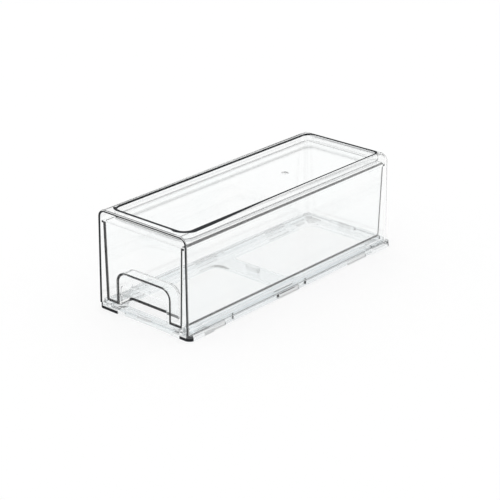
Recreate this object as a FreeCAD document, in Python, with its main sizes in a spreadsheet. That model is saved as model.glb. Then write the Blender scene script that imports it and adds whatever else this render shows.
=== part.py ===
import FreeCAD, Part
import math
import os
import Sketcher

# Clear pull-out storage box: a cover snapped onto a base frame, and a drawer that slides between them.
# +Z is up, the front faces -Y, and the origin is at the bottom centre. All sizes are in millimetres.

SIZES = {
    # Cover: top, two sides and back, open at the front and below
    "cover_length": 298.0,
    "cover_width": 112.0,
    "cover_top_height": 100.0,
    "cover_foot_height": 6.0,
    "cover_side_lean": 1.2,
    "cover_rear_lean": 1.6,
    "cover_wall": 2.4,
    "cover_side_round": 8.5,
    "cover_rear_round": 8.0,
    "mouth_round": 0.7,
    # Stacking recess in the top
    "recess_front_inset": 9.2,
    "recess_side_inset": 10.2,
    "recess_rear_inset": 6.0,
    "recess_depth": 8.0,
    "recess_floor": 2.2,
    "recess_round": 9.0,
    "recess_lip_round": 0.5,
    "recess_foot_round": 1.2,
    "tray_edge_round": 0.5,
    "gate_radius": 2.8,
    "gate_depth": 0.6,
    "gate_from_front": 199.0,
    # Snaps along each side: hooks on the cover in slots of the base, and a thumb pad ahead of each
    "snap_from_front": 48.0,
    "snap_from_rear": 41.0,
    "snap_length": 11.0,
    "snap_depth": 3.4,
    "snap_thickness": 1.5,
    "snap_inset": 0.4,
    "snap_barb": 0.6,
    "snap_barb_height": 1.0,
    "snap_clearance": 0.2,
    "thumb_pad_length": 28.5,
    "thumb_pad_height": 2.2,
    "thumb_pad_proud": 0.7,
    # Base frame
    "base_setback": 0.5,
    "base_overhang": 1.0,
    "base_round": 5.0,
    "base_underside": 1.2,
    "base_plate_top": 4.0,
    "ledge_gap": 0.2,
    "front_wall_height": 6.7,
    "front_wall_thickness": 2.4,
    "locating_wall_height": 9.4,
    "locating_wall_thickness": 2.0,
    "locating_clearance": 0.4,
    "channel_width": 4.6,
    "runner_width": 3.2,
    "runner_gap": 0.3,
    "window_side_margin": 4.7,
    "window_end_margin": 14.0,
    "crossbar_width": 21.5,
    "window_round": 10.0,
    "window_lip_width": 2.0,
    "window_lip_drop": 0.6,
    "foot_width": 24.0,
    "foot_length": 32.0,
    "foot_proud": 0.8,
    "foot_round": 6.0,
    "foot_edge_round": 0.4,
    # Drawer
    "drawer_bottom_height": 10.0,
    "drawer_top_gap": 0.9,
    "drawer_side_gap": 1.55,
    "drawer_rear_gap": 4.1,
    "drawer_rear_lean": 0.8,
    "drawer_setback": 0.3,
    "drawer_wall": 2.2,
    "drawer_foot_beside_runner": 0.4,
    "drawer_front_round": 0.6,
    "drawer_rear_round": 2.6,
    "drawer_foot_round": 1.6,
    "drawer_inner_round": 1.0,
    "rim_overhang": 1.8,
    "rim_rear_overhang": 1.0,
    "rim_thickness": 2.0,
    # Finger pocket in the drawer's front
    "pocket_width": 67.0,
    "pocket_height": 34.0,
    "pocket_depth": 18.0,
    "pocket_round": 11.0,
    "pocket_rear_round": 6.0,
    "grip_side_lip": 4.5,
    "grip_top_lip": 12.6,
    "grip_round": 5.0,
    # Drawer stop: a peg on the crossbar and a catch under the drawer
    "stop_peg_length": 16.0,
    "stop_peg_width": 5.0,
    "stop_peg_round": 2.0,
    "stop_peg_height": 8.4,
    "catch_half_width": 16.0,
    "catch_length": 3.0,
    "catch_height": 2.6,
    "catch_from_rear": 0.6,
}

doc = FreeCAD.newDocument("storage_box")
sheet = doc.addObject("Spreadsheet::Sheet", "Sizes")
for row, (alias, value) in enumerate(SIZES.items(), start=1):
    sheet.set(f"A{row}", alias)
    sheet.set(f"B{row}", str(value))
    sheet.setAlias(f"B{row}", alias)
doc.recompute()


class Length:
    """A length that keeps both its value and the expression on the sheet that it comes from."""

    def __init__(self, value, text):
        self.value = value
        self.text = text

    @staticmethod
    def of(other):
        return other if isinstance(other, Length) else Length(float(other), f"{float(other)}")

    def __add__(self, other):
        other = Length.of(other)
        return Length(self.value + other.value, f"({self.text} + {other.text})")

    def __sub__(self, other):
        other = Length.of(other)
        return Length(self.value - other.value, f"({self.text} - {other.text})")

    def __mul__(self, other):
        other = Length.of(other)
        return Length(self.value * other.value, f"({self.text} * {other.text})")

    def __truediv__(self, other):
        other = Length.of(other)
        return Length(self.value / other.value, f"({self.text} / {other.text})")

    def __neg__(self):
        return self * -1


def size(alias):
    return Length(SIZES[alias], f"Sizes.{alias}")


ZERO = Length.of(0)
NEAR = 0.02
QUARTER_TURN = math.pi / 2
# How far a cut runs past what it cuts, and how far an added block sinks into what it stands on
OVERSHOOT = Length.of(2)
ROOT = Length.of(0.3)
# How far the cut that slopes a back starts ahead of it and ends behind it
SLOPE_REACH = Length.of(10)
# An edge that runs up a wall is taller than this, and moves sideways by less than the second number
UPRIGHT_HEIGHT = 20
UPRIGHT_DRIFT = 10

# Cover
COVER_FRONT = -(size("cover_length") + size("base_overhang")) / 2
COVER_REAR = COVER_FRONT + size("cover_length")
COVER_MIDDLE = (COVER_FRONT + COVER_REAR) / 2
COVER_HALF = size("cover_width") / 2
COVER_TOP = size("cover_top_height")
COVER_FOOT = size("cover_foot_height")
COVER_RISE = COVER_TOP - COVER_FOOT
COVER_WALL = size("cover_wall")
COVER_TOP_HALF = COVER_HALF - size("cover_side_lean")
COVER_TOP_REAR = COVER_REAR - size("cover_rear_lean")
RECESS_FLOOR = COVER_TOP - size("recess_depth")
TRAY_UNDERSIDE = RECESS_FLOOR - size("recess_floor")

# Base
BASE_FRONT = COVER_FRONT + size("base_setback")
BASE_REAR = COVER_REAR + size("base_overhang")
BASE_HALF = COVER_HALF + size("base_overhang")
BASE_UNDERSIDE = size("base_underside")
PLATE_TOP = size("base_plate_top")
LEDGE_TOP = COVER_FOOT - size("ledge_gap")
LOCATING_OUTER = COVER_HALF - COVER_WALL - size("locating_clearance")
LOCATING_INNER = LOCATING_OUTER - size("locating_wall_thickness")
LOCATING_REAR_OUTER = COVER_REAR - COVER_WALL - size("locating_clearance")
LOCATING_REAR_INNER = LOCATING_REAR_OUTER - size("locating_wall_thickness")
FRONT_WALL_REAR = BASE_FRONT + size("front_wall_thickness")
RUNNER_OUTER = LOCATING_INNER - size("channel_width")
RUNNER_INNER = RUNNER_OUTER - size("runner_width")
SNAP_START = COVER_FRONT + size("snap_from_front")
SNAP_SPREAD = size("cover_length") - size("snap_from_front") - size("snap_from_rear")
SNAP_COUNT = 3
HOOK_OUTER = COVER_HALF - size("snap_inset")
HOOK_INNER = HOOK_OUTER - size("snap_thickness")
HOOK_FOOT = COVER_FOOT - size("snap_depth")

# Drawer
DRAWER_FRONT = COVER_FRONT + size("drawer_setback")
DRAWER_REAR = COVER_REAR - COVER_WALL - size("drawer_rear_gap")
DRAWER_TOP_REAR = DRAWER_REAR + size("drawer_rear_lean")
DRAWER_BOTTOM = size("drawer_bottom_height")
DRAWER_RIM = TRAY_UNDERSIDE - size("drawer_top_gap")
DRAWER_WALL = size("drawer_wall")
DRAWER_FLOOR = DRAWER_BOTTOM + DRAWER_WALL
DRAWER_HALF = RUNNER_OUTER + size("drawer_foot_beside_runner")
DRAWER_TOP_HALF = COVER_TOP_HALF - COVER_WALL - size("drawer_side_gap") - size("rim_overhang")


def check(feature):
    """Stops the build where a feature didn't come out."""
    failed = [word for word in feature.State if word in ("Invalid", "Error")]
    if failed:
        raise RuntimeError(f"{feature.Label} is {failed}")
    if hasattr(feature, "Shape") and (feature.Shape.isNull() or not feature.Shape.isValid()):
        raise RuntimeError(f"{feature.Label} has no valid shape")


def new_body(label):
    body = doc.addObject("PartDesign::Body", label)
    body.Label = label
    body.Placement = FreeCAD.Placement()
    doc.recompute()
    return body


def origin_feature(body, role):
    return next(item for item in body.Origin.OriginFeatures if item.Role == role)


def new_sketch(body, name, role, offset):
    """A sketch on one of the body's own planes, moved by offset along the plane's own x, y and normal."""
    sketch = body.newObject("Sketcher::SketchObject", name)
    sketch.AttachmentSupport = [(origin_feature(body, role), "")]
    sketch.MapMode = "FlatFace"
    for axis, distance in zip("xyz", offset):
        sketch.setExpression(f".AttachmentOffset.Base.{axis}", distance.text)
    return sketch


def drive(sketch, kind, places, length, name):
    """Adds a dimension to a sketch and binds it to the sheet."""
    index = sketch.addConstraint(Sketcher.Constraint(kind, *places, length.value))
    sketch.renameConstraint(index, name)
    sketch.setExpression(f"Constraints.{name}", length.text)


def closed_lines(sketch, corners):
    """A closed outline of straight lines through corners, given as numbers."""
    points = [FreeCAD.Vector(x, y, 0) for x, y in corners]
    sketch.addGeometry([Part.LineSegment(a, b) for a, b in zip(points, points[1:] + points[:1])])
    for step in range(len(points)):
        following = (step + 1) % len(points)
        sketch.addConstraint(Sketcher.Constraint("Coincident", step, 2, following, 1))


def trapezoid(sketch, bottom_width, top_width, height):
    """Symmetric about the sketch's y axis, with its foot on the x axis."""
    low = bottom_width.value / 2
    high = top_width.value / 2
    closed_lines(sketch, [(-low, 0), (low, 0), (high, height.value), (-high, height.value)])
    sketch.addConstraint(Sketcher.Constraint("Symmetric", 0, 1, 0, 2, -1, 1))
    sketch.addConstraint(Sketcher.Constraint("Horizontal", 0))
    sketch.addConstraint(Sketcher.Constraint("Symmetric", 2, 1, 2, 2, -2))
    drive(sketch, "DistanceX", (0, 1, 0, 2), bottom_width, "bottom_width")
    drive(sketch, "DistanceX", (2, 2, 2, 1), top_width, "top_width")
    drive(sketch, "DistanceY", (0, 2, 2, 1), height, "height")


def rectangle(sketch, width, length):
    """A rectangle centred on the sketch's origin."""
    half_x = width.value / 2
    half_y = length.value / 2
    closed_lines(sketch, [(-half_x, -half_y), (half_x, -half_y), (half_x, half_y), (-half_x, half_y)])
    for step in range(4):
        sketch.addConstraint(Sketcher.Constraint("Vertical" if step % 2 else "Horizontal", step))
    sketch.addConstraint(Sketcher.Constraint("Symmetric", 0, 1, 2, 1, -1, 1))
    drive(sketch, "DistanceX", (0, 1, 0, 2), width, "width")
    drive(sketch, "DistanceY", (1, 1, 1, 2), length, "length")


def rounded_rectangle(sketch, width, length, radius):
    """A rectangle with round corners, centred on the sketch's origin."""
    half_x = width.value / 2
    half_y = length.value / 2
    r = radius.value
    up = FreeCAD.Vector(0, 0, 1)
    lines = [
        ((-half_x + r, -half_y), (half_x - r, -half_y)),
        ((half_x, -half_y + r), (half_x, half_y - r)),
        ((half_x - r, half_y), (-half_x + r, half_y)),
        ((-half_x, half_y - r), (-half_x, -half_y + r)),
    ]
    centres = [
        (half_x - r, -half_y + r),
        (half_x - r, half_y - r),
        (-half_x + r, half_y - r),
        (-half_x + r, -half_y + r),
    ]
    for turn, ((start, end), centre) in enumerate(zip(lines, centres)):
        sketch.addGeometry(Part.LineSegment(FreeCAD.Vector(*start, 0), FreeCAD.Vector(*end, 0)))
        round_corner = Part.Circle(FreeCAD.Vector(*centre, 0), up, r)
        angles = (QUARTER_TURN * (turn - 1), QUARTER_TURN * turn)
        sketch.addGeometry(Part.ArcOfCircle(round_corner, *angles))
    for step in range(4):
        line = 2 * step
        arc = line + 1
        sketch.addConstraint(Sketcher.Constraint("Tangent", line, 2, arc, 1))
        sketch.addConstraint(Sketcher.Constraint("Tangent", arc, 2, (line + 2) % 8, 1))
        sketch.addConstraint(Sketcher.Constraint("Vertical" if step % 2 else "Horizontal", line))
        if step:
            sketch.addConstraint(Sketcher.Constraint("Equal", 1, arc))
    sketch.addConstraint(Sketcher.Constraint("Symmetric", 1, 3, 5, 3, -1, 1))
    drive(sketch, "Radius", (1,), radius, "corner_round")
    drive(sketch, "DistanceX", (6, 1, 2, 1), width, "width")
    drive(sketch, "DistanceY", (0, 1, 4, 1), length, "length")


def arch(sketch, width, height, radius):
    """An upright opening with two round upper corners, its foot centred on the sketch's origin."""
    half = width.value / 2
    top = height.value
    r = radius.value
    up = FreeCAD.Vector(0, 0, 1)
    vector = FreeCAD.Vector
    right = Part.Circle(vector(half - r, top - r, 0), up, r)
    left = Part.Circle(vector(-half + r, top - r, 0), up, r)
    sketch.addGeometry([
        Part.LineSegment(vector(-half, 0, 0), vector(half, 0, 0)),
        Part.LineSegment(vector(half, 0, 0), vector(half, top - r, 0)),
        Part.ArcOfCircle(right, 0, QUARTER_TURN),
        Part.LineSegment(vector(half - r, top, 0), vector(-half + r, top, 0)),
        Part.ArcOfCircle(left, QUARTER_TURN, 2 * QUARTER_TURN),
        Part.LineSegment(vector(-half, top - r, 0), vector(-half, 0, 0)),
    ])
    foot, right_side, right_arc, head, left_arc, left_side = range(6)
    constraints = [
        ("Coincident", foot, 2, right_side, 1),
        ("Tangent", right_side, 2, right_arc, 1),
        ("Tangent", right_arc, 2, head, 1),
        ("Tangent", head, 2, left_arc, 1),
        ("Tangent", left_arc, 2, left_side, 1),
        ("Coincident", left_side, 2, foot, 1),
        ("Symmetric", foot, 1, foot, 2, -1, 1),
        ("Horizontal", foot),
        ("Vertical", right_side),
        ("Vertical", left_side),
        ("Equal", right_arc, left_arc),
    ]
    for constraint in constraints:
        sketch.addConstraint(Sketcher.Constraint(*constraint))
    drive(sketch, "DistanceX", (foot, 1, foot, 2), width, "width")
    drive(sketch, "DistanceY", (foot, 2, head, 1), height, "height")
    drive(sketch, "Radius", (right_arc,), radius, "corner_round")


def finish_feature(feature):
    doc.recompute()
    check(feature)
    return feature


def pad(body, name, sketch, length, reverse=False):
    feature = body.newObject("PartDesign::Pad", name)
    feature.Profile = sketch
    feature.Reversed = reverse
    feature.setExpression("Length", length.text)
    return finish_feature(feature)


def pocket(body, name, sketch, length, reverse=False, both_ways=False):
    """Cuts a sketch out of the body and stops the build if nothing was cut."""
    before = body.Shape.Volume
    feature = body.newObject("PartDesign::Pocket", name)
    feature.Profile = sketch
    feature.Reversed = reverse
    feature.Midplane = both_ways
    feature.setExpression("Length", length.text)
    finish_feature(feature)
    if not feature.Shape.Volume < before - NEAR:
        raise RuntimeError(f"{name} cut nothing")
    return feature


def hollow_out(body, name, base, open_faces, wall):
    """Leaves walls of one thickness and takes away the faces that open_faces(face) picks."""
    names = [f"Face{i}" for i, face in enumerate(base.Shape.Faces, start=1) if open_faces(face)]
    feature = body.newObject("PartDesign::Thickness", name)
    feature.Base = (base, names)
    feature.Reversed = True
    feature.Mode = "Skin"
    feature.Join = "Intersection"
    feature.setExpression("Value", wall.text)
    return finish_feature(feature)


def fillet(body, name, base, chosen, radius):
    """Rounds the edges of base that chosen(edge) picks."""
    names = [f"Edge{i}" for i, edge in enumerate(base.Shape.Edges, start=1) if chosen(edge)]
    if not names:
        raise RuntimeError(f"{name} found no edge")
    feature = body.newObject("PartDesign::Fillet", name)
    feature.Base = (base, names)
    feature.setExpression("Radius", radius.text)
    return finish_feature(feature)


def lean_rear(body, rear, foot, rise, lean):
    """Cuts the back to a slope that moves by lean over rise, starting at rear on the height foot."""
    sketch = new_sketch(body, "rear_slope_outline", "YZ_Plane", (rear - SLOPE_REACH, foot - OVERSHOOT, ZERO))
    tall = rise + OVERSHOOT * 2
    low = SLOPE_REACH - lean * OVERSHOOT / rise
    high = SLOPE_REACH + lean * (rise + OVERSHOOT) / rise
    far = SLOPE_REACH * 2
    corners = [(low, ZERO), (far, ZERO), (far, tall), (high, tall)]
    closed_lines(sketch, [(x.value, y.value) for x, y in corners])
    sketch.addConstraint(Sketcher.Constraint("PointOnObject", 0, 1, -1))
    sketch.addConstraint(Sketcher.Constraint("Horizontal", 0))
    sketch.addConstraint(Sketcher.Constraint("Vertical", 1))
    sketch.addConstraint(Sketcher.Constraint("Horizontal", 2))
    drive(sketch, "DistanceX", (-1, 1, 0, 1), low, "low")
    drive(sketch, "DistanceX", (-1, 1, 0, 2), far, "far")
    drive(sketch, "DistanceY", (-1, 1, 2, 1), tall, "tall")
    drive(sketch, "DistanceX", (-1, 1, 2, 2), high, "high")
    return pocket(body, "rear_slope", sketch, size("cover_width") * 2, both_ways=True)


def repeat_along(body, name, originals, length, count):
    """Repeats features along Y, count in all, spread over length."""
    feature = body.newObject("PartDesign::LinearPattern", name)
    feature.Originals = originals
    feature.Direction = (origin_feature(body, "Y_Axis"), [""])
    feature.setExpression("Length", length.text)
    feature.Occurrences = count
    body.Tip = feature
    return finish_feature(feature)


def block(body, name, x_span, y_span, z_span, radius=None, cut=False):
    """A straight-sided block, or a cut, between the given limits along X, Y and Z."""
    offset = ((x_span[0] + x_span[1]) / 2, (y_span[0] + y_span[1]) / 2, z_span[0])
    sketch = new_sketch(body, f"{name}_outline", "XY_Plane", offset)
    width = x_span[1] - x_span[0]
    length = y_span[1] - y_span[0]
    if radius is None:
        rectangle(sketch, width, length)
    else:
        rounded_rectangle(sketch, width, length, radius)
    height = z_span[1] - z_span[0]
    return pocket(body, name, sketch, height, True) if cut else pad(body, name, sketch, height)


def on_side(side, inner, outer):
    """The limits along X of something that lies from inner to outer on the left (-1) or the right (1)."""
    return (inner, outer) if side > 0 else (-outer, -inner)


SIDES = {"left": -1, "right": 1}


def lowest(shape):
    return shape.BoundBox.XMin, shape.BoundBox.YMin, shape.BoundBox.ZMin


def highest(shape):
    return shape.BoundBox.XMax, shape.BoundBox.YMax, shape.BoundBox.ZMax


def lies_at(shape, axis, value):
    """True if an edge or face lies wholly at one coordinate along an axis: 0 for X, 1 for Y, 2 for Z."""
    return abs(lowest(shape)[axis] - value) < NEAR and abs(highest(shape)[axis] - value) < NEAR


def rises(edge):
    """True for an edge that runs most of the way up a wall."""
    box = edge.BoundBox
    return box.ZLength > UPRIGHT_HEIGHT and max(box.XLength, box.YLength) < UPRIGHT_DRIFT


def middle(edge):
    return edge.valueAt((edge.FirstParameter + edge.LastParameter) / 2)


# Cover


def make_cover():
    body = new_body("cover")
    section = new_sketch(body, "section", "XZ_Plane", (ZERO, COVER_FOOT, -COVER_FRONT))
    trapezoid(section, COVER_HALF * 2, COVER_TOP_HALF * 2, COVER_RISE)
    pad(body, "block", section, size("cover_length"), True)
    shell = lean_rear(body, COVER_REAR, COVER_FOOT, COVER_RISE, -size("cover_rear_lean"))

    front = COVER_FRONT.value
    foot = COVER_FOOT.value
    top = COVER_TOP.value

    def top_side(edge):
        return lies_at(edge, 2, top) and edge.BoundBox.YLength > edge.BoundBox.XLength

    def round_the_back(edge):
        return lowest(edge)[1] > COVER_TOP_REAR.value - NEAR and not lies_at(edge, 2, foot)

    def open_side(face):
        return lies_at(face, 1, front) or lies_at(face, 2, foot)

    shell = fillet(body, "side_rounds", shell, top_side, size("cover_side_round"))
    shell = fillet(body, "rear_rounds", shell, round_the_back, size("cover_rear_round"))
    hollow_out(body, "walls", shell, open_side, COVER_WALL)
    shell = add_recess(body)

    def mouth(edge):
        return lies_at(edge, 1, front) and on_outer_skin(middle(edge))

    fillet(body, "mouth_round", shell, mouth, size("mouth_round"))
    add_hooks(body)
    return body


def add_recess(body):
    """The stacking recess: a tray under the top, cut out from above, with round edges."""
    half = COVER_TOP_HALF - size("recess_side_inset")
    front = COVER_FRONT + size("recess_front_inset")
    rear = COVER_TOP_REAR - size("recess_rear_inset")
    wall = size("recess_floor")
    tray_x = (-half - wall, half + wall)
    tray_y = (front - wall, rear + wall)
    tray_z = (TRAY_UNDERSIDE, COVER_TOP - COVER_WALL + ROOT)
    corner = size("recess_round")
    block(body, "tray", tray_x, tray_y, tray_z, corner + wall)
    recess_z = (RECESS_FLOOR, COVER_TOP + OVERSHOOT)
    shell = block(body, "recess", (-half, half), (front, rear), recess_z, corner, cut=True)

    def floor(edge):
        return lies_at(edge, 2, RECESS_FLOOR.value)

    def underside(edge):
        return lies_at(edge, 2, TRAY_UNDERSIDE.value)

    def lip(edge):
        place = middle(edge)
        inside = abs(place.x) < half.value + NEAR and front.value - NEAR < place.y < rear.value + NEAR
        return inside and lowest(edge)[2] > (COVER_TOP - COVER_WALL / 2).value

    shell = fillet(body, "recess_foot_round", shell, floor, size("recess_foot_round"))
    shell = fillet(body, "tray_round", shell, underside, size("tray_edge_round"))
    shell = fillet(body, "recess_lip_round", shell, lip, size("recess_lip_round"))

    place = (ZERO, COVER_FRONT + size("gate_from_front"), RECESS_FLOOR)
    gate = new_sketch(body, "gate_outline", "XY_Plane", place)
    gate.addGeometry(Part.Circle(FreeCAD.Vector(), FreeCAD.Vector(0, 0, 1), size("gate_radius").value))
    gate.addConstraint(Sketcher.Constraint("Coincident", 0, 3, -1, 1))
    drive(gate, "Radius", (0,), size("gate_radius"), "radius")
    return pocket(body, "gate", gate, size("gate_depth"))


def on_outer_skin(point):
    """True for a point on the outside of the cover's sides or top, and not on its inside or its foot."""
    rise = (point.z - COVER_FOOT.value) / COVER_RISE.value
    if rise * COVER_RISE.value < NEAR:
        return False
    skin = COVER_HALF.value - size("cover_side_lean").value * rise
    radius = size("cover_side_round").value
    depth = COVER_WALL.value / 2
    beside = abs(point.x) - (skin - radius)
    above = point.z - (COVER_TOP.value - radius)
    if above < 0:
        return beside > radius - depth
    if beside < 0:
        return above > radius - depth
    return (beside**2 + above**2) ** 0.5 > radius - depth


def add_hooks(body):
    """Barbed hooks under the cover's lower edge, three on each side."""
    gap = size("snap_clearance")
    y_span = (SNAP_START + gap, SNAP_START + size("snap_length") - gap)
    hooks = []
    for name, side in SIDES.items():
        hook_x = on_side(side, HOOK_INNER, HOOK_OUTER)
        hooks.append(block(body, f"{name}_hook", hook_x, y_span, (HOOK_FOOT, COVER_FOOT + ROOT)))
        barb_x = on_side(side, HOOK_INNER - size("snap_barb"), HOOK_INNER + ROOT)
        barb_z = (HOOK_FOOT + gap, HOOK_FOOT + gap + size("snap_barb_height"))
        hooks.append(block(body, f"{name}_barb", barb_x, y_span, barb_z))
    repeat_along(body, "hooks", hooks, SNAP_SPREAD, SNAP_COUNT)


# Base frame


def make_base():
    body = new_body("base")
    plate_x = (-BASE_HALF, BASE_HALF)
    plate_z = (BASE_UNDERSIDE, LEDGE_TOP)
    block(body, "plate", plate_x, (BASE_FRONT, BASE_REAR), plate_z, size("base_round"))
    well_z = (PLATE_TOP, LEDGE_TOP + OVERSHOOT)
    well_x = (-LOCATING_INNER, LOCATING_INNER)
    block(body, "well", well_x, (FRONT_WALL_REAR, LOCATING_REAR_INNER), well_z, cut=True)
    add_walls(body)
    add_feet(body)
    add_windows(body)
    add_slots(body)

    peg_half = size("stop_peg_length") / 2
    peg_y = (COVER_MIDDLE - size("stop_peg_width") / 2, COVER_MIDDLE + size("stop_peg_width") / 2)
    peg_z = (PLATE_TOP - ROOT, size("stop_peg_height"))
    block(body, "stop_peg", (-peg_half, peg_half), peg_y, peg_z, size("stop_peg_round"))
    return body


def add_walls(body):
    """The walls that locate the cover, the low front wall, and the runners that carry the drawer."""
    wall_z = (LEDGE_TOP - ROOT, size("locating_wall_height"))
    runner_z = (PLATE_TOP - ROOT, DRAWER_BOTTOM - size("runner_gap"))
    for name, side in SIDES.items():
        wall_x = on_side(side, LOCATING_INNER, LOCATING_OUTER)
        block(body, f"{name}_wall", wall_x, (FRONT_WALL_REAR, LOCATING_REAR_OUTER), wall_z)
        runner_x = on_side(side, RUNNER_INNER, RUNNER_OUTER)
        runner_y = (FRONT_WALL_REAR - ROOT, LOCATING_REAR_INNER + ROOT)
        block(body, f"{name}_runner", runner_x, runner_y, runner_z)
    across = (-LOCATING_OUTER, LOCATING_OUTER)
    block(body, "rear_wall", across, (LOCATING_REAR_INNER, LOCATING_REAR_OUTER), wall_z)
    front_z = (LEDGE_TOP - ROOT, size("front_wall_height"))
    frame = block(body, "front_wall", across, (BASE_FRONT, FRONT_WALL_REAR), front_z)

    def corner_at(half, rear):
        def chosen(edge):
            place = middle(edge)
            upright = edge.BoundBox.ZLength > NEAR and place.z > PLATE_TOP.value
            return upright and abs(abs(place.x) - half.value) < NEAR and lies_at(edge, 1, rear.value)

        return chosen

    # The outer corners follow the inside of the cover's rear corners
    outer_round = size("cover_rear_round") - COVER_WALL - size("locating_clearance")
    inner_round = outer_round - size("locating_wall_thickness")
    outer_corner = corner_at(LOCATING_OUTER, LOCATING_REAR_OUTER)
    inner_corner = corner_at(LOCATING_INNER, LOCATING_REAR_INNER)
    frame = fillet(body, "outer_corners", frame, outer_corner, outer_round)
    fillet(body, "inner_corners", frame, inner_corner, inner_round)


def add_windows(body):
    """Two windows in the plate, each with a lip below. They cut into the feet and leave a crossbar."""
    half = RUNNER_INNER - size("window_side_margin")
    bar_half = size("crossbar_width") / 2
    margin = size("window_end_margin")
    windows = {
        "front_window": (COVER_FRONT + margin, COVER_MIDDLE - bar_half),
        "rear_window": (COVER_MIDDLE + bar_half, COVER_REAR - margin),
    }
    lip = size("window_lip_width")
    corner = size("window_round")
    for name, (start, end) in windows.items():
        lip_z = (BASE_UNDERSIDE - size("window_lip_drop"), BASE_UNDERSIDE + ROOT)
        block(body, f"{name}_lip", (-half - lip, half + lip), (start - lip, end + lip), lip_z, corner + lip)
    frame = None
    for name, span in windows.items():
        window_z = (-OVERSHOOT, PLATE_TOP + OVERSHOOT)
        frame = block(body, name, (-half, half), span, window_z, corner, cut=True)

    def sole(edge):
        return lies_at(edge, 2, 0.0)

    fillet(body, "foot_soles", frame, sole, size("foot_edge_round"))


def add_feet(body):
    """Four solid corner feet that stand a little proud of the sides."""
    outer = BASE_HALF + size("foot_proud")
    length = size("foot_length")
    spans = {"front": (COVER_FRONT, COVER_FRONT + length), "rear": (BASE_REAR - length, BASE_REAR)}
    foot = None
    for place, y_span in spans.items():
        for name, side in SIDES.items():
            foot_x = on_side(side, outer - size("foot_width"), outer)
            foot = block(body, f"{place}_{name}_foot", foot_x, y_span, (ZERO, PLATE_TOP))

    def corner(edge):
        at_side = lies_at(edge, 0, outer.value) or lies_at(edge, 0, -outer.value)
        return at_side and (lies_at(edge, 1, COVER_FRONT.value) or lies_at(edge, 1, BASE_REAR.value))

    fillet(body, "foot_corners", foot, corner, size("foot_round"))


def add_slots(body):
    """Slots that the cover's hooks drop into, and a thumb pad ahead of each on the outside."""
    gap = size("snap_clearance")
    slot_y = (SNAP_START, SNAP_START + size("snap_length"))
    slot_z = (HOOK_FOOT - gap, LEDGE_TOP + OVERSHOOT)
    notch_z = (HOOK_FOOT, HOOK_FOOT + gap * 2 + size("snap_barb_height"))
    pad_y = (SNAP_START - size("thumb_pad_length"), SNAP_START)
    pad_z = (BASE_UNDERSIDE, BASE_UNDERSIDE + size("thumb_pad_height"))
    thumb_pads = []
    for name, side in SIDES.items():
        pad_x = on_side(side, BASE_HALF - ROOT, BASE_HALF + size("thumb_pad_proud"))
        thumb_pads.append(block(body, f"{name}_thumb_pad", pad_x, pad_y, pad_z))
    repeat_along(body, "thumb_pads", thumb_pads, SNAP_SPREAD, SNAP_COUNT)
    slots = []
    for name, side in SIDES.items():
        slot_x = on_side(side, HOOK_INNER - gap, BASE_HALF + OVERSHOOT)
        slots.append(block(body, f"{name}_slot", slot_x, slot_y, slot_z, cut=True))
        notch_x = on_side(side, HOOK_INNER - size("snap_barb") - gap, HOOK_INNER)
        slots.append(block(body, f"{name}_notch", notch_x, slot_y, notch_z, cut=True))
    repeat_along(body, "slots", slots, SNAP_SPREAD, SNAP_COUNT)


# Drawer


def make_drawer():
    body = new_body("drawer")
    section = new_sketch(body, "section", "XZ_Plane", (ZERO, DRAWER_BOTTOM, -DRAWER_FRONT))
    rise = DRAWER_RIM - DRAWER_BOTTOM
    trapezoid(section, DRAWER_HALF * 2, DRAWER_TOP_HALF * 2, rise)
    pad(body, "block", section, DRAWER_TOP_REAR - DRAWER_FRONT, True)
    tub = lean_rear(body, DRAWER_REAR, DRAWER_BOTTOM, rise, size("drawer_rear_lean"))

    def rear_corner(edge):
        return rises(edge) and middle(edge).y > DRAWER_REAR.value - NEAR

    def front_corner(edge):
        return lies_at(edge, 1, DRAWER_FRONT.value) and rises(edge)

    def foot(edge):
        return lies_at(edge, 2, DRAWER_BOTTOM.value)

    def open_top(face):
        return lies_at(face, 2, DRAWER_RIM.value)

    def inner_front_corner(edge):
        return rises(edge) and lies_at(edge, 1, (DRAWER_FRONT + DRAWER_WALL).value)

    def inner_foot(edge):
        return lies_at(edge, 2, DRAWER_FLOOR.value)

    tub = fillet(body, "rear_corners", tub, rear_corner, size("drawer_rear_round"))
    tub = hollow_out(body, "walls", tub, open_top, DRAWER_WALL)
    tub = fillet(body, "front_corners", tub, front_corner, size("drawer_front_round"))
    tub = fillet(body, "foot_round", tub, foot, size("drawer_foot_round"))
    tub = fillet(body, "inner_front_corners", tub, inner_front_corner, size("drawer_inner_round"))
    fillet(body, "inner_foot_round", tub, inner_foot, size("drawer_inner_round"))
    add_rim(body)
    add_pocket(body)

    catch_rear = DRAWER_REAR - size("catch_from_rear")
    catch_z = (DRAWER_BOTTOM - size("catch_height"), DRAWER_FLOOR - ROOT)
    half = size("catch_half_width")
    block(body, "catch", (-half, half), (catch_rear - size("catch_length"), catch_rear), catch_z)
    return body


def add_rim(body):
    """The flange outside the rim of the drawer's sides and back."""
    rim_z = (DRAWER_RIM - size("rim_thickness"), DRAWER_RIM)
    outer = DRAWER_TOP_HALF + size("rim_overhang")
    rear = DRAWER_TOP_REAR + size("rim_rear_overhang")
    mid_wall = DRAWER_WALL / 2
    rim = None
    for name, side in SIDES.items():
        rim_x = on_side(side, DRAWER_TOP_HALF - mid_wall, outer)
        rim_y = (DRAWER_FRONT + size("drawer_front_round") / 2, rear)
        rim = block(body, f"{name}_rim", rim_x, rim_y, rim_z)
    rim = block(body, "rear_rim", (-outer, outer), (DRAWER_TOP_REAR - mid_wall, rear), rim_z)

    def corner(edge):
        at_side = lies_at(edge, 0, outer.value) or lies_at(edge, 0, -outer.value)
        return at_side and lies_at(edge, 1, rear.value)

    fillet(body, "rim_corners", rim, corner, size("drawer_rear_round") + size("rim_rear_overhang"))


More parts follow.
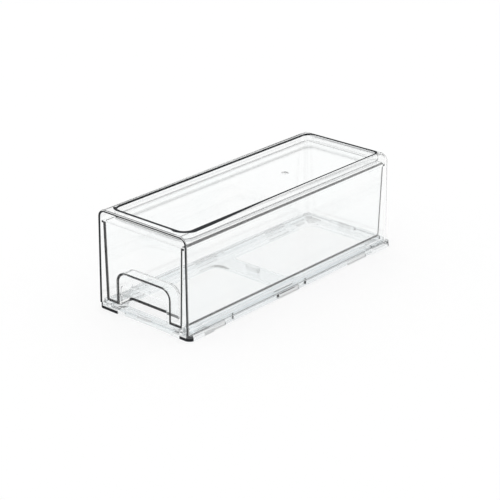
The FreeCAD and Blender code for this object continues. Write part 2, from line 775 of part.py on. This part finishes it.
def add_pocket(body):
    """The finger pocket: a vault behind the front panel, open below, and the panel over it as the grip."""
    width = size("pocket_width")
    height = size("pocket_height")
    rear = DRAWER_FRONT + size("pocket_depth")
    wall = DRAWER_WALL
    start = DRAWER_FRONT + wall / 2
    vault = new_sketch(body, "vault_outline", "XZ_Plane", (ZERO, DRAWER_BOTTOM, -start))
    arch(vault, width, height, size("pocket_round"))
    solid = pad(body, "vault", vault, rear - start, True)

    def vault_back(edge):
        return lies_at(edge, 1, rear.value) and highest(edge)[2] > DRAWER_FLOOR.value + NEAR

    fillet(body, "vault_round", solid, vault_back, size("pocket_rear_round"))

    below = DRAWER_BOTTOM - wall
    hollow = new_sketch(body, "hollow_outline", "XZ_Plane", (ZERO, below, -(DRAWER_FRONT + wall)))
    arch(hollow, width - wall * 2, height, size("pocket_round") - wall)
    solid = pocket(body, "hollow", hollow, size("pocket_depth") - wall * 2)
    back = rear - wall

    def hollow_back(edge):
        return lies_at(edge, 1, back.value) and not lies_at(edge, 2, DRAWER_BOTTOM.value)

    fillet(body, "hollow_round", solid, hollow_back, size("pocket_rear_round") - wall)

    grip = new_sketch(body, "grip_outline", "XZ_Plane", (ZERO, below, -(DRAWER_FRONT - OVERSHOOT)))
    grip_height = height - size("grip_top_lip") + wall
    arch(grip, width - size("grip_side_lip") * 2, grip_height, size("grip_round"))
    pocket(body, "grip", grip, OVERSHOOT + wall * 1.5)


pieces = [make_cover(), make_base(), make_drawer()]
doc.recompute()
for item in doc.Objects:
    check(item)
os.makedirs("parts", exist_ok=True)
for piece in pieces:
    if len(piece.Shape.Solids) != 1:
        raise RuntimeError(f"{piece.Label} is {len(piece.Shape.Solids)} solids")
for piece in pieces:
    piece.Shape.exportStep(f"parts/{piece.Label}.step")
    box = piece.Shape.BoundBox
    limits = (box.XMin, box.XMax, box.YMin, box.YMax, box.ZMin, box.ZMax)
    print(piece.Label, f"{piece.Shape.Volume / 1000:.2f} cm3", [round(limit, 2) for limit in limits])
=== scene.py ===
import math

import bmesh
import bpy
from mathutils import Matrix, Vector


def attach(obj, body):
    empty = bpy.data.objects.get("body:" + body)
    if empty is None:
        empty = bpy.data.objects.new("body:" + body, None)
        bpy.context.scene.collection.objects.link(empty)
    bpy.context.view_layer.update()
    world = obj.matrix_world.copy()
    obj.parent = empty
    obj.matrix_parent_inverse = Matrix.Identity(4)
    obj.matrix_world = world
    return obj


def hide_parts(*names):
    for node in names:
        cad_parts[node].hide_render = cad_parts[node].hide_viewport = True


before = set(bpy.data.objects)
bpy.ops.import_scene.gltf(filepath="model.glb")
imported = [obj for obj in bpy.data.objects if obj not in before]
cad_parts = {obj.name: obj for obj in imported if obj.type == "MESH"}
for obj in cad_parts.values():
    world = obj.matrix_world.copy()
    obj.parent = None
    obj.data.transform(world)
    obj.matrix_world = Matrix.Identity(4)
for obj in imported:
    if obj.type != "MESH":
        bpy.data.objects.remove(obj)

SCENE = bpy.context.scene
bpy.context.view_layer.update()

MM = 0.001
MM_PER_METRE = 1000

# Places on the cover, the base and the drawer are in millimetres: +Z is up, and the front faces -Y

# Cover
COVER_FRONT, COVER_FOOT, COVER_TOP = -149.5, 6.0, 100.0
# How far a side leans in over each millimetre of height
COVER_LEAN = 0.0128
# Inside round between a side and the top: where its centre lies, and its radius
INSIDE_ROUND_X, INSIDE_ROUND_Z, INSIDE_ROUND = 47.5, 91.5, 6.1
# Stacking recess: middle of its length, centres of its corner rounds from there, and their radius
RECESS_MIDDLE = 0.3
RECESS_ROUND_X, RECESS_ROUND_Y, RECESS_ROUND = 35.6, 131.6, 9.0
# The tray that hangs in the top and holds the recess
RECESS_FLOOR, TRAY_UNDERSIDE, TRAY_WALL = 92.0, 89.8, 2.2
GATE_Y, GATE_RADIUS = 49.5, 2.8
# Snaps along a side: front end of the first, distance from one to the next, length, and top of the hook's barb
SNAP_START, SNAP_PITCH, SNAP_LENGTH, BARB_TOP = -101.5, 104.5, 11.0, 3.8
# How much of the length of a hook or a thumb pad its end takes up
END_LENGTH = 1.2

# Base
BOX_END = 149.5
BASE_UNDERSIDE, PLATE_TOP, LEDGE_TOP = 1.2, 4.0, 5.8
BASE_HALF = 57.0
FOOT_OUTER, FOOT_INNER = 57.8, 33.8
THUMB_PAD_LENGTH, THUMB_PAD_TOP = 28.5, 3.4
STOP_PEG_HALF = 8.0

# Drawer
DRAWER_FRONT, DRAWER_BOTTOM, DRAWER_RIM, DRAWER_WALL = -149.2, 10.0, 88.9, 2.2
# Half of the front panel's width at its foot, and how far a side leans out over each millimetre of height
PANEL_HALF, PANEL_LEAN = 47.0, 0.026
# Finger pocket: half of its width, centres of its upper corner rounds, and their radius
POCKET_HALF, POCKET_ROUND_X, POCKET_ROUND_Z, POCKET_ROUND = 33.5, 22.5, 33.0, 11.0

# How strongly an edge's painted shade reads dark, where that is less than fully
GATE_PAINTED_SHADE = 0.22
SNAP_WALL_PAINTED_SHADE = 0.8
COVER_FOOT_PAINTED_SHADE = 0.5
LEDGE_PAINTED_SHADE = 0.4
REAR_CORNER_PAINTED_SHADE, FRONT_CORNER_ADDED_SHADE = 0.2, 0.7
PAD_FOOT_PAINTED_SHADE = 0.5
POCKET_PAINTED_SHADE = 0.9
# How strongly an edge gets painted light, an opaque matte white, where that is less than fully
RECESS_FOOT_PAINTED_LIGHT = 0.5
REAR_WALL_PAINTED_LIGHT = 0.6
PEG_PAINTED_LIGHT = 0.6
# Distance over which an edge's painted shade and painted light fade
FADE = 0.2

# Polystyrene: how much it bends light, and the roughness of its polish with what handling and hairlines add
POLYSTYRENE_IOR = 1.58
POLISH, HANDLING_ROUGHNESS, HAIRLINE_ROUGHNESS = 0.012, 0.03, 0.05
# Depth of its flow waves, and the share of that depth that a hairline has
FLOW_DEPTH, HAIRLINE_SHARE = 0.08 * MM, 0.01
CLEAR = (0.998, 1.0, 0.999)
# The base is tinted greyer than the cover and drawer: painted shade that darkens the whole base
CLEAR_WITH_PAINTED_SHADE = (0.89, 0.915, 0.925)
# What the flow waves keep of the tint
FLOW_COOLER = (0.993, 0.998, 0.999)
# Opaque colours painted on the edges: a white as painted light where light led through the plastic shows bright, a
# near black as painted shade where an edge leads its light away
PAINTED_LIGHT_EDGE = (0.95, 0.96, 0.96, 1)
PAINTED_SHADE_EDGE = (0.02, 0.022, 0.025, 1)
# What a lamp's light keeps at each face of the plastic that it passes
LAMP_FILM = (0.988, 0.99, 0.993, 1)

# Vertices nearer than this are one, and an edge that bends less than this is smooth
MERGE_DISTANCE = 0.001 * MM
SMOOTH_ANGLE = math.radians(32)

# Camera: where it looks and how far from there it stands, in metres, its turns, and its lens and sensor
CAMERA_TARGET, CAMERA_DISTANCE = Vector((-0.0178, 0.0185, 0.0154)), 1.604
CAMERA_AZIMUTH, CAMERA_ELEVATION, CAMERA_ROLL = math.radians(40.90), math.radians(23.00), math.radians(0.22)
CAMERA_LENS, CAMERA_SENSOR = 117.48, 36

WHITE = (1, 1, 1, 1)
FLOOR_HALF = 5.0
FLOOR_PAINT = (0.3, 0.3, 0.3, 1)
FLOOR_GLOW = 0.7
# What the studio's white gives as a light
STUDIO_LIGHT = 0.85
# Dark wall in the studio: the way to it, how near that way it starts and is full, where it ends, how dark it is
WALL_X, WALL_Y = -0.655, 0.756
WALL_SIDES = (0.75, 0.9)
WALL_RIM = (0.2, 0.32)
WALL_DARKNESS = 0.9


class Value:
    """A socket whose sums are written as plain expressions."""

    def __init__(self, shader, socket):
        self.shader = shader
        self.socket = socket

    def __getitem__(self, output):
        """Another output of the same node."""
        return Value(self.shader, self.socket.node.outputs[output])

    def sum_with(self, operation, first, second):
        return self.shader.node("Math", {"operation": operation}, {0: first, 1: second})

    def __add__(self, other):
        return self.sum_with("ADD", self, other)

    __radd__ = __add__

    def __sub__(self, other):
        return self.sum_with("SUBTRACT", self, other)

    def __rsub__(self, other):
        return self.sum_with("SUBTRACT", other, self)

    def __mul__(self, other):
        return self.sum_with("MULTIPLY", self, other)

    __rmul__ = __mul__

    def __pow__(self, other):
        return self.sum_with("POWER", self, other)

    def at_least(self, other):
        return self.sum_with("MAXIMUM", self, other)

    def wrapped(self, pitch):
        return self.sum_with("FLOORED_MODULO", self, pitch)

    def size(self):
        return self.shader.node("Math", {"operation": "ABSOLUTE"}, {0: self})

    def rise(self, start, end):
        """0 below start, 1 above end, smooth between them."""
        limits = {"Value": self, "From Min": start, "From Max": end}
        return self.shader.node("MapRange", {"interpolation_type": "SMOOTHSTEP"}, limits)

    def fall(self, start, end):
        """1 below start, 0 above end, smooth between them."""
        return 1 - self.rise(start, end)

    def between(self, start, end, fade=FADE):
        """1 from start to end, 0 elsewhere, fading outside them."""
        return self.rise(start - fade, start) * self.fall(end, end + fade)


class Shader:
    """The node tree of a material or of the world."""

    def __init__(self, owner):
        owner.use_nodes = True
        self.tree = owner.node_tree
        self.tree.nodes.clear()

    def node(self, kind, settings=None, links=None):
        """Adds a node, sets its settings, then gives its sockets their values or links. Returns its first output."""
        made = self.tree.nodes.new("ShaderNode" + kind)
        for name, value in (settings or {}).items():
            setattr(made, name, value)
        for name, value in (links or {}).items():
            socket = made.inputs[name]
            if isinstance(value, Value):
                self.tree.links.new(value.socket, socket)
            else:
                socket.default_value = value
        return Value(self, made.outputs[0]) if made.outputs else None

    def colour(self, share, first, second):
        """A colour that goes from first to second as share goes from 0 to 1."""
        return self.node("Mix", {"data_type": "RGBA"}, {0: share, 6: first, 7: second})[2]


def add_camera():
    back = Vector((
        math.sin(CAMERA_AZIMUTH) * math.cos(CAMERA_ELEVATION),
        -math.cos(CAMERA_AZIMUTH) * math.cos(CAMERA_ELEVATION),
        math.sin(CAMERA_ELEVATION),
    ))
    camera = bpy.data.objects.new("camera", bpy.data.cameras.new("camera"))
    camera.data.sensor_width = CAMERA_SENSOR
    camera.data.lens = CAMERA_LENS
    place = Matrix.Translation(CAMERA_TARGET + back * CAMERA_DISTANCE)
    turn = (-back).to_track_quat("-Z", "Y").to_matrix().to_4x4()
    camera.matrix_world = place @ turn @ Matrix.Rotation(CAMERA_ROLL, 4, "Z")
    SCENE.collection.objects.link(camera)
    SCENE.camera = camera


def past_outline(across, along, corner):
    """How far a place lies outside a round-cornered outline, from how far it lies past the corner's centre."""
    return (across.at_least(0) ** 2 + along.at_least(0) ** 2) ** 0.5 - corner


def recess_edges(x, y, z):
    """The lip's painted shade, a dark line, and painted light, an opaque matte white, on the recess's foot, on its
    tray's edge and on its rear wall.
    """
    past_lip = past_outline(x.size() - RECESS_ROUND_X, (y - RECESS_MIDDLE).size() - RECESS_ROUND_Y, RECESS_ROUND)
    right = x.rise(30.0, 36.0)
    near = right.at_least(y.fall(-139.0, -136.0))
    # The painted shade line is on the recess wall. At the front and right it runs over onto the top, most at their
    # corner
    lip_width = 0.45 + near * 1.7 + near * y.fall(-150.0, 60.0) * 1.3 + right * y.fall(-120.0, -20.0) * 1.6
    lip = past_lip.rise(-0.3, -0.1) * (past_lip - lip_width).fall(0.0, 0.2)
    lip = lip * z.rise(COVER_TOP - 1.6, COVER_TOP - 1.4)
    # Painted light, an opaque white, on the recess's foot away from the front and right, on the tray's edge and on
    # the rear wall
    foot = past_lip.between(-1.3, 0.3) * z.between(RECESS_FLOOR - 0.1, RECESS_FLOOR + 1.2)
    foot = foot * (1 - near) * RECESS_FOOT_PAINTED_LIGHT
    tray_edge = past_lip.between(TRAY_WALL - 0.3, TRAY_WALL + 0.4)
    tray_edge = tray_edge * z.between(TRAY_UNDERSIDE - 0.2, RECESS_FLOOR + 0.3)
    rear_wall = past_lip.between(-0.6, 0.3) * y.rise(137.0, 140.0)
    rear_wall = rear_wall * z.between(COVER_TOP - 4.2, COVER_TOP - 1.6) * REAR_WALL_PAINTED_LIGHT
    return lip, foot.at_least(tray_edge).at_least(rear_wall)


def mouth_edges(x, y, z):
    """The end face round the mouth: painted shade along its inner edge, and painted light, an opaque matte white,
    beyond that.
    """
    left = x.fall(-51.0, -49.0)
    # On the left wall the round beside the face counts too
    face = y.fall(COVER_FRONT + 0.05, COVER_FRONT + 0.15)
    face = face.at_least(y.fall(COVER_FRONT + 0.5, COVER_FRONT + 0.6) * left)
    past_inside = past_outline(
        x.size() + (z - COVER_FOOT) * COVER_LEAN - INSIDE_ROUND_X,
        z - INSIDE_ROUND_Z,
        INSIDE_ROUND,
    )
    # The painted shade covers all of the left wall, and is narrow under the top
    dark_width = 1.7 + left * 0.6 - z.rise(COVER_TOP - 4.5, COVER_TOP - 2.6) * 0.55
    inner = (past_inside - dark_width).fall(-0.1, 0.3)
    return face * inner, face * (1 - inner)


def cover_edges(x, y, z):
    """Where the cover's edges get painted shade and where they get painted light, 0 to 1."""
    lip, recess_painted_light = recess_edges(x, y, z)
    mouth_painted_shade, mouth_painted_light = mouth_edges(x, y, z)
    # Painted shade: a faint dark ring round the gate mark
    from_gate = (x ** 2 + (y - GATE_Y) ** 2) ** 0.5
    gate = from_gate.between(GATE_RADIUS - 0.2, GATE_RADIUS + 1.2) * z.rise(RECESS_FLOOR - 1.0, RECESS_FLOOR - 0.8)
    # Painted shade at the ends of the snaps, three along each side
    along_snap = (y - SNAP_START).wrapped(SNAP_PITCH)
    hook_end = along_snap.between(0.0, END_LENGTH) * z.fall(BARB_TOP, BARB_TOP + 0.4)
    snap_wall_shade = along_snap.between(SNAP_LENGTH - 0.8, SNAP_LENGTH + 0.6)
    snap_wall_shade = snap_wall_shade * z.between(COVER_FOOT + 0.9, COVER_FOOT + 2.7)
    # Painted shade along the cover's foot
    foot = z.between(COVER_FOOT - 0.1, COVER_FOOT + 0.7, 0.1)
    painted_shade = lip.at_least(mouth_painted_shade).at_least(gate * GATE_PAINTED_SHADE).at_least(hook_end)
    painted_shade = painted_shade.at_least(snap_wall_shade * SNAP_WALL_PAINTED_SHADE).at_least(foot * COVER_FOOT_PAINTED_SHADE)
    # The painted shade and light show only from outside: from inside the wall its edges are as clear as its faces
    outside = 1 - x.shader.node("NewGeometry")["Backfacing"]
    return painted_shade * outside, mouth_painted_light.at_least(recess_painted_light) * outside


def base_edges(x, y, z):
    """Painted shade: the cover's ledge, the feet's ends, the base's corners, the thumb pads' feet and ends. Painted
    light, an opaque matte white: the pads and the stop peg.
    """
    across = x.size()
    # Painted shade along the cover's ledge
    ledge = z.rise(LEDGE_TOP - 0.4, LEDGE_TOP - 0.2) * across.rise(BASE_HALF - 0.5, BASE_HALF - 0.3)
    end = y.size().rise(BOX_END - 5.0, BOX_END - 4.7)
    # Painted shade on the feet's ends. The right feet show less of their ends than the left ones
    foot_ends = x.between(45.0, FOOT_OUTER + 0.2) + x.between(-FOOT_OUTER - 0.2, 0.2 - FOOT_INNER)
    foot_ends = foot_ends * z.between(0.5, 3.2) * end
    # Painted shade on the corners, darker at the front than at the rear
    corners = across.rise(FOOT_OUTER - 5.2, FOOT_OUTER - 4.8) * z.between(0.5, LEDGE_TOP - 0.2) * end
    corners = corners * (REAR_CORNER_PAINTED_SHADE + y.fall(-144.0, -140.0) * FRONT_CORNER_ADDED_SHADE)
    side = across.rise(BASE_HALF - 0.2, BASE_HALF - 0.05)
    pad_start = SNAP_PITCH - THUMB_PAD_LENGTH
    beside_pads = (y - SNAP_START).wrapped(SNAP_PITCH).rise(pad_start - 0.5, pad_start) * side
    pad_foot = beside_pads * z.fall(BASE_UNDERSIDE + 0.4, BASE_UNDERSIDE + 0.6)
    pad_end = (y - (SNAP_START - END_LENGTH)).wrapped(SNAP_PITCH).fall(END_LENGTH, END_LENGTH + 0.2)
    pad_end = pad_end * side * z.between(BASE_UNDERSIDE + 0.6, THUMB_PAD_TOP)
    # Painted light on the thumb pads and, less, on the stop peg
    pads = beside_pads * z.fall(LEDGE_TOP - 0.9, LEDGE_TOP - 0.7)
    peg = across.fall(STOP_PEG_HALF + 0.2, STOP_PEG_HALF + 0.5) * z.rise(PLATE_TOP + 0.1, PLATE_TOP + 0.3)
    painted_shade = (ledge * LEDGE_PAINTED_SHADE).at_least(foot_ends).at_least(corners)
    painted_shade = painted_shade.at_least(pad_foot * PAD_FOOT_PAINTED_SHADE).at_least(pad_end)
    return painted_shade, pads.at_least(peg * PEG_PAINTED_LIGHT)


def drawer_edges(x, y, z):
    """Painted shade: the front panel's sides and foot, and the finger pocket's wall behind it. Painted light, an
    opaque matte white: the panel's top.
    """
    across = x.size()
    panel = y.fall(DRAWER_FRONT + 0.6, DRAWER_FRONT + 0.9)
    past_pocket = past_outline(across - POCKET_ROUND_X, z - POCKET_ROUND_Z, POCKET_ROUND)
    pocket_wall = past_pocket.between(-0.8, 0.1) * y.fall(DRAWER_FRONT + 0.1, DRAWER_FRONT + 0.2)
    sides = (across - (z - DRAWER_BOTTOM) * PANEL_LEAN - PANEL_HALF).rise(-1.1, -0.7) * panel
    foot = z.fall(DRAWER_BOTTOM + 1.2, DRAWER_BOTTOM + 1.5) * across.rise(POCKET_HALF - 0.5, POCKET_HALF - 0.2)
    behind_panel = DRAWER_FRONT + DRAWER_WALL
    top = z.rise(DRAWER_RIM - 0.4, DRAWER_RIM - 0.2) * y.fall(behind_panel, behind_panel + 0.2)
    return sides.at_least(pocket_wall * POCKET_PAINTED_SHADE).at_least(foot * panel), top


def clear_polystyrene(name, tint, edges):
    """Clear, polished moulded plastic: faint flow waves and handling marks. Where its edges lead their light away it
    has painted shade, a near black, and painted light, an opaque white.
    """
    material = bpy.data.materials.new(name)
    shader = Shader(material)
    place = shader.node("TexCoord")["Object"]
    axes = shader.node("SeparateXYZ", None, {0: place})
    flow = shader.node("TexNoise", None, {"Vector": place, "Scale": 18.0, "Detail": 2.0, "Roughness": 0.4})
    handling = shader.node("TexNoise", None, {"Vector": place, "Scale": 90.0, "Detail": 5.0, "Roughness": 0.6})
    along_pull = shader.node("Mapping", None, {"Vector": place, "Scale": (900.0, 25.0, 900.0)})
    hairlines = shader.node("TexNoise", None, {"Vector": along_pull, "Scale": 1.0, "Detail": 2.0}).rise(0.66, 0.78)
    height = flow + hairlines * HAIRLINE_SHARE
    cool = tuple(channel * share for channel, share in zip(tint, FLOW_COOLER)) + (1,)
    plastic = shader.node("BsdfPrincipled", None, {
        "Base Color": shader.colour(flow.rise(0.35, 0.7), tint + (1,), cool),
        "Roughness": POLISH + handling.rise(0.45, 0.75) * HANDLING_ROUGHNESS + hairlines * HAIRLINE_ROUGHNESS,
        "IOR": POLYSTYRENE_IOR,
        "Transmission Weight": 1.0,
        "Normal": shader.node("Bump", None, {"Strength": 1.0, "Distance": FLOW_DEPTH, "Height": height}),
    })
    # Where the edges get painted shade and painted light, 0 to 1
    painted_shade, painted_light = edges(*(axes[axis] * MM_PER_METRE for axis in "XYZ"))
    # An opaque matte shader for them: near black as painted shade, white as painted light
    edge = shader.node("BsdfPrincipled", None, {
        "Base Color": shader.colour((painted_shade - painted_light).rise(-0.02, 0.02), PAINTED_LIGHT_EDGE, PAINTED_SHADE_EDGE),
        "Roughness": 0.7,
        "Specular IOR Level": 0.2,
    })
    surface = shader.node("MixShader", None, {0: painted_shade.at_least(painted_light), 1: plastic, 2: edge})
    film = shader.node("BsdfTransparent", None, {"Color": LAMP_FILM})
    lamp_ray = shader.node("LightPath")["Is Shadow Ray"]
    mixed = shader.node("MixShader", None, {0: lamp_ray, 1: surface, 2: film})
    shader.node("OutputMaterial", None, {"Surface": mixed})
    return material


def moulding(node, body, material):
    """A merged, smooth copy of a moulding's solid, which stands for it."""
    mesh = bpy.data.meshes.new(node + "_moulding")
    shape = bmesh.new()
    shape.from_mesh(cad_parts[node].data)
    bmesh.ops.remove_doubles(shape, verts=shape.verts, dist=MERGE_DISTANCE)
    for face in shape.faces:
        face.smooth = True
    for edge in shape.edges:
        edge.smooth = edge.calc_face_angle(0) < SMOOTH_ANGLE
    shape.to_mesh(mesh)
    shape.free()
    mesh.materials.append(material)
    piece = bpy.data.objects.new(node + "_moulding", mesh)
    SCENE.collection.objects.link(piece)
    weigh = piece.modifiers.new("even_normals", "WEIGHTED_NORMAL")
    weigh.keep_sharp = True
    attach(piece, body)
    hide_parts(node)


def add_floor():
    """A white table top, most of whose white is its own, so that the lamp can stay low."""
    mesh = bpy.data.meshes.new("floor")
    corners = [(x * FLOOR_HALF, y * FLOOR_HALF, 0) for x, y in ((-1, -1), (1, -1), (1, 1), (-1, 1))]
    mesh.from_pydata(corners, [], [(0, 1, 2, 3)])
    floor = bpy.data.objects.new("floor", mesh)
    SCENE.collection.objects.link(floor)
    material = bpy.data.materials.new("white_table")
    shader = Shader(material)
    seen = 1 - shader.node("LightPath")["Is Diffuse Ray"]
    paint = shader.node("BsdfDiffuse", None, {"Color": FLOOR_PAINT})
    glow = shader.node("Emission", None, {"Color": WHITE, "Strength": seen * FLOOR_GLOW})
    both = shader.node("AddShader", None, {0: paint, 1: glow})
    shader.node("OutputMaterial", None, {"Surface": both})
    mesh.materials.append(material)


def add_world():
    """A white studio. The low dark wall on the box's far side shows only in the plastic."""
    world = bpy.data.worlds.new("studio")
    SCENE.world = world
    shader = Shader(world)
    path = shader.node("LightPath")
    way = shader.node("SeparateXYZ", None, {0: shader.node("TexCoord")})
    far_side = (way["Y"] * WALL_Y + way["X"] * WALL_X).rise(*WALL_SIDES)
    in_plastic = 1 - far_side * way["Z"].fall(*WALL_RIM) * WALL_DARKNESS
    camera_ray, plain_ray = path["Is Camera Ray"], path["Is Diffuse Ray"]
    strength = camera_ray + (1 - camera_ray) * (plain_ray * STUDIO_LIGHT + (1 - plain_ray) * in_plastic)
    light = shader.node("Background", None, {"Color": WHITE, "Strength": strength})
    shader.node("OutputWorld", None, {"Surface": light})


def add_lamp(name, place, strength, width):
    """A wide, far softbox over place, as seen from the box."""
    lamp = bpy.data.lights.new(name, "SUN")
    lamp.energy = strength
    lamp.angle = math.radians(width)
    holder = bpy.data.objects.new(name, lamp)
    holder.matrix_world = (-Vector(place)).to_track_quat("-Z", "Y").to_matrix().to_4x4()
    holder.visible_glossy = holder.visible_transmission = False
    SCENE.collection.objects.link(holder)


add_camera()
moulding("cover", "case", clear_polystyrene("clear_cover_polystyrene", CLEAR, cover_edges))
moulding("base", "case", clear_polystyrene("clear_base_polystyrene", CLEAR_WITH_PAINTED_SHADE, base_edges))
moulding("drawer", "drawer", clear_polystyrene("clear_drawer_polystyrene", CLEAR, drawer_edges))
add_floor()
add_world()
add_lamp("left_softbox", place=(-0.6, 0.3, 1.0), strength=0.58, width=25)

SCENE.view_settings.view_transform = "Standard"
SCENE.cycles.max_bounces = 40
SCENE.cycles.transmission_bounces = 32
SCENE.cycles.glossy_bounces = 5
SCENE.cycles.transparent_max_bounces = 32
